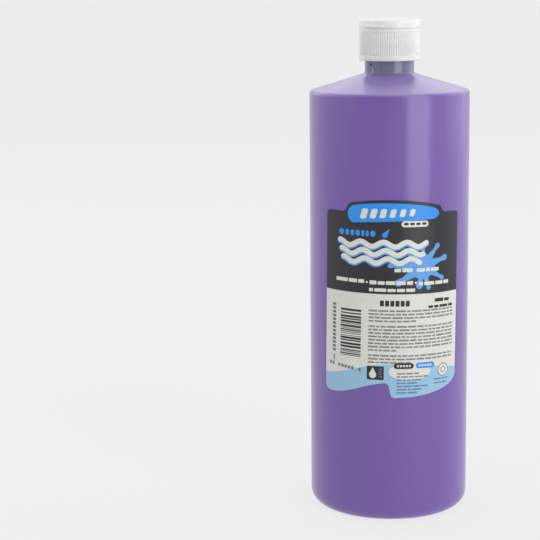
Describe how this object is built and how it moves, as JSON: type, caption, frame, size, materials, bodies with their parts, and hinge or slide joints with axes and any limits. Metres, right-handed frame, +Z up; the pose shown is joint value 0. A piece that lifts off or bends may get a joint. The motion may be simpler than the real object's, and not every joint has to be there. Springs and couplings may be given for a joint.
{
  "type": "flip-top paint bottle",
  "caption": "Round straight-sided plastic squeeze bottle of paint with a sloping shoulder, a screw-on ribbed cap with a flip-top lid, and a wrap label.",
  "frame": {"origin": "centre of the standing ring, on the surface that the bottle stands on", "axes": "+Z up along the bottle's axis, -Y out of the middle of the label, +X to the right as the label is read"},
  "size_m": [0.081, 0.0812, 0.2509],
  "materials": {
    "bottle": "satin",
    "paint": "gloss",
    "label": "satin",
    "liner": "matte",
    "cap": "satin",
    "hinge": "satin"
  },
  "bodies": {
    "bottle": {"bottle_shell": "bottle", "paint_fill": "paint", "label": "label"},
    "liner": {"cap_liner": "liner"},
    "cap": {"cap_base": "cap", "hinge_films": "hinge", "snap_strap": "hinge"},
    "lid": {"flip_lid": "cap"}
  },
  "joints": [
    {"name": "cap_lift", "type": "slide", "parent": "bottle", "child": "liner", "axis": [0, 0, 1], "range_m": [0, 0.00635]},
    {"name": "cap_turn", "type": "hinge", "parent": "liner", "child": "cap", "pos_m": [0, 0, 0.2447], "axis": [0, 0, 1], "range_deg": [0, 540]},
    {"name": "lid_hinge", "type": "hinge", "parent": "cap", "child": "lid", "pos_m": [0.00773, 0.0119, 0.2462], "axis": [-0.8387, 0.5446, 0], "range_deg": [0, 160], "deforming": ["hinge_films", "snap_strap"]}
  ],
  "couplings": [
    {"joint": "cap_lift", "follows": "cap_turn", "m_per_rad": 0.0006737}
  ]
}
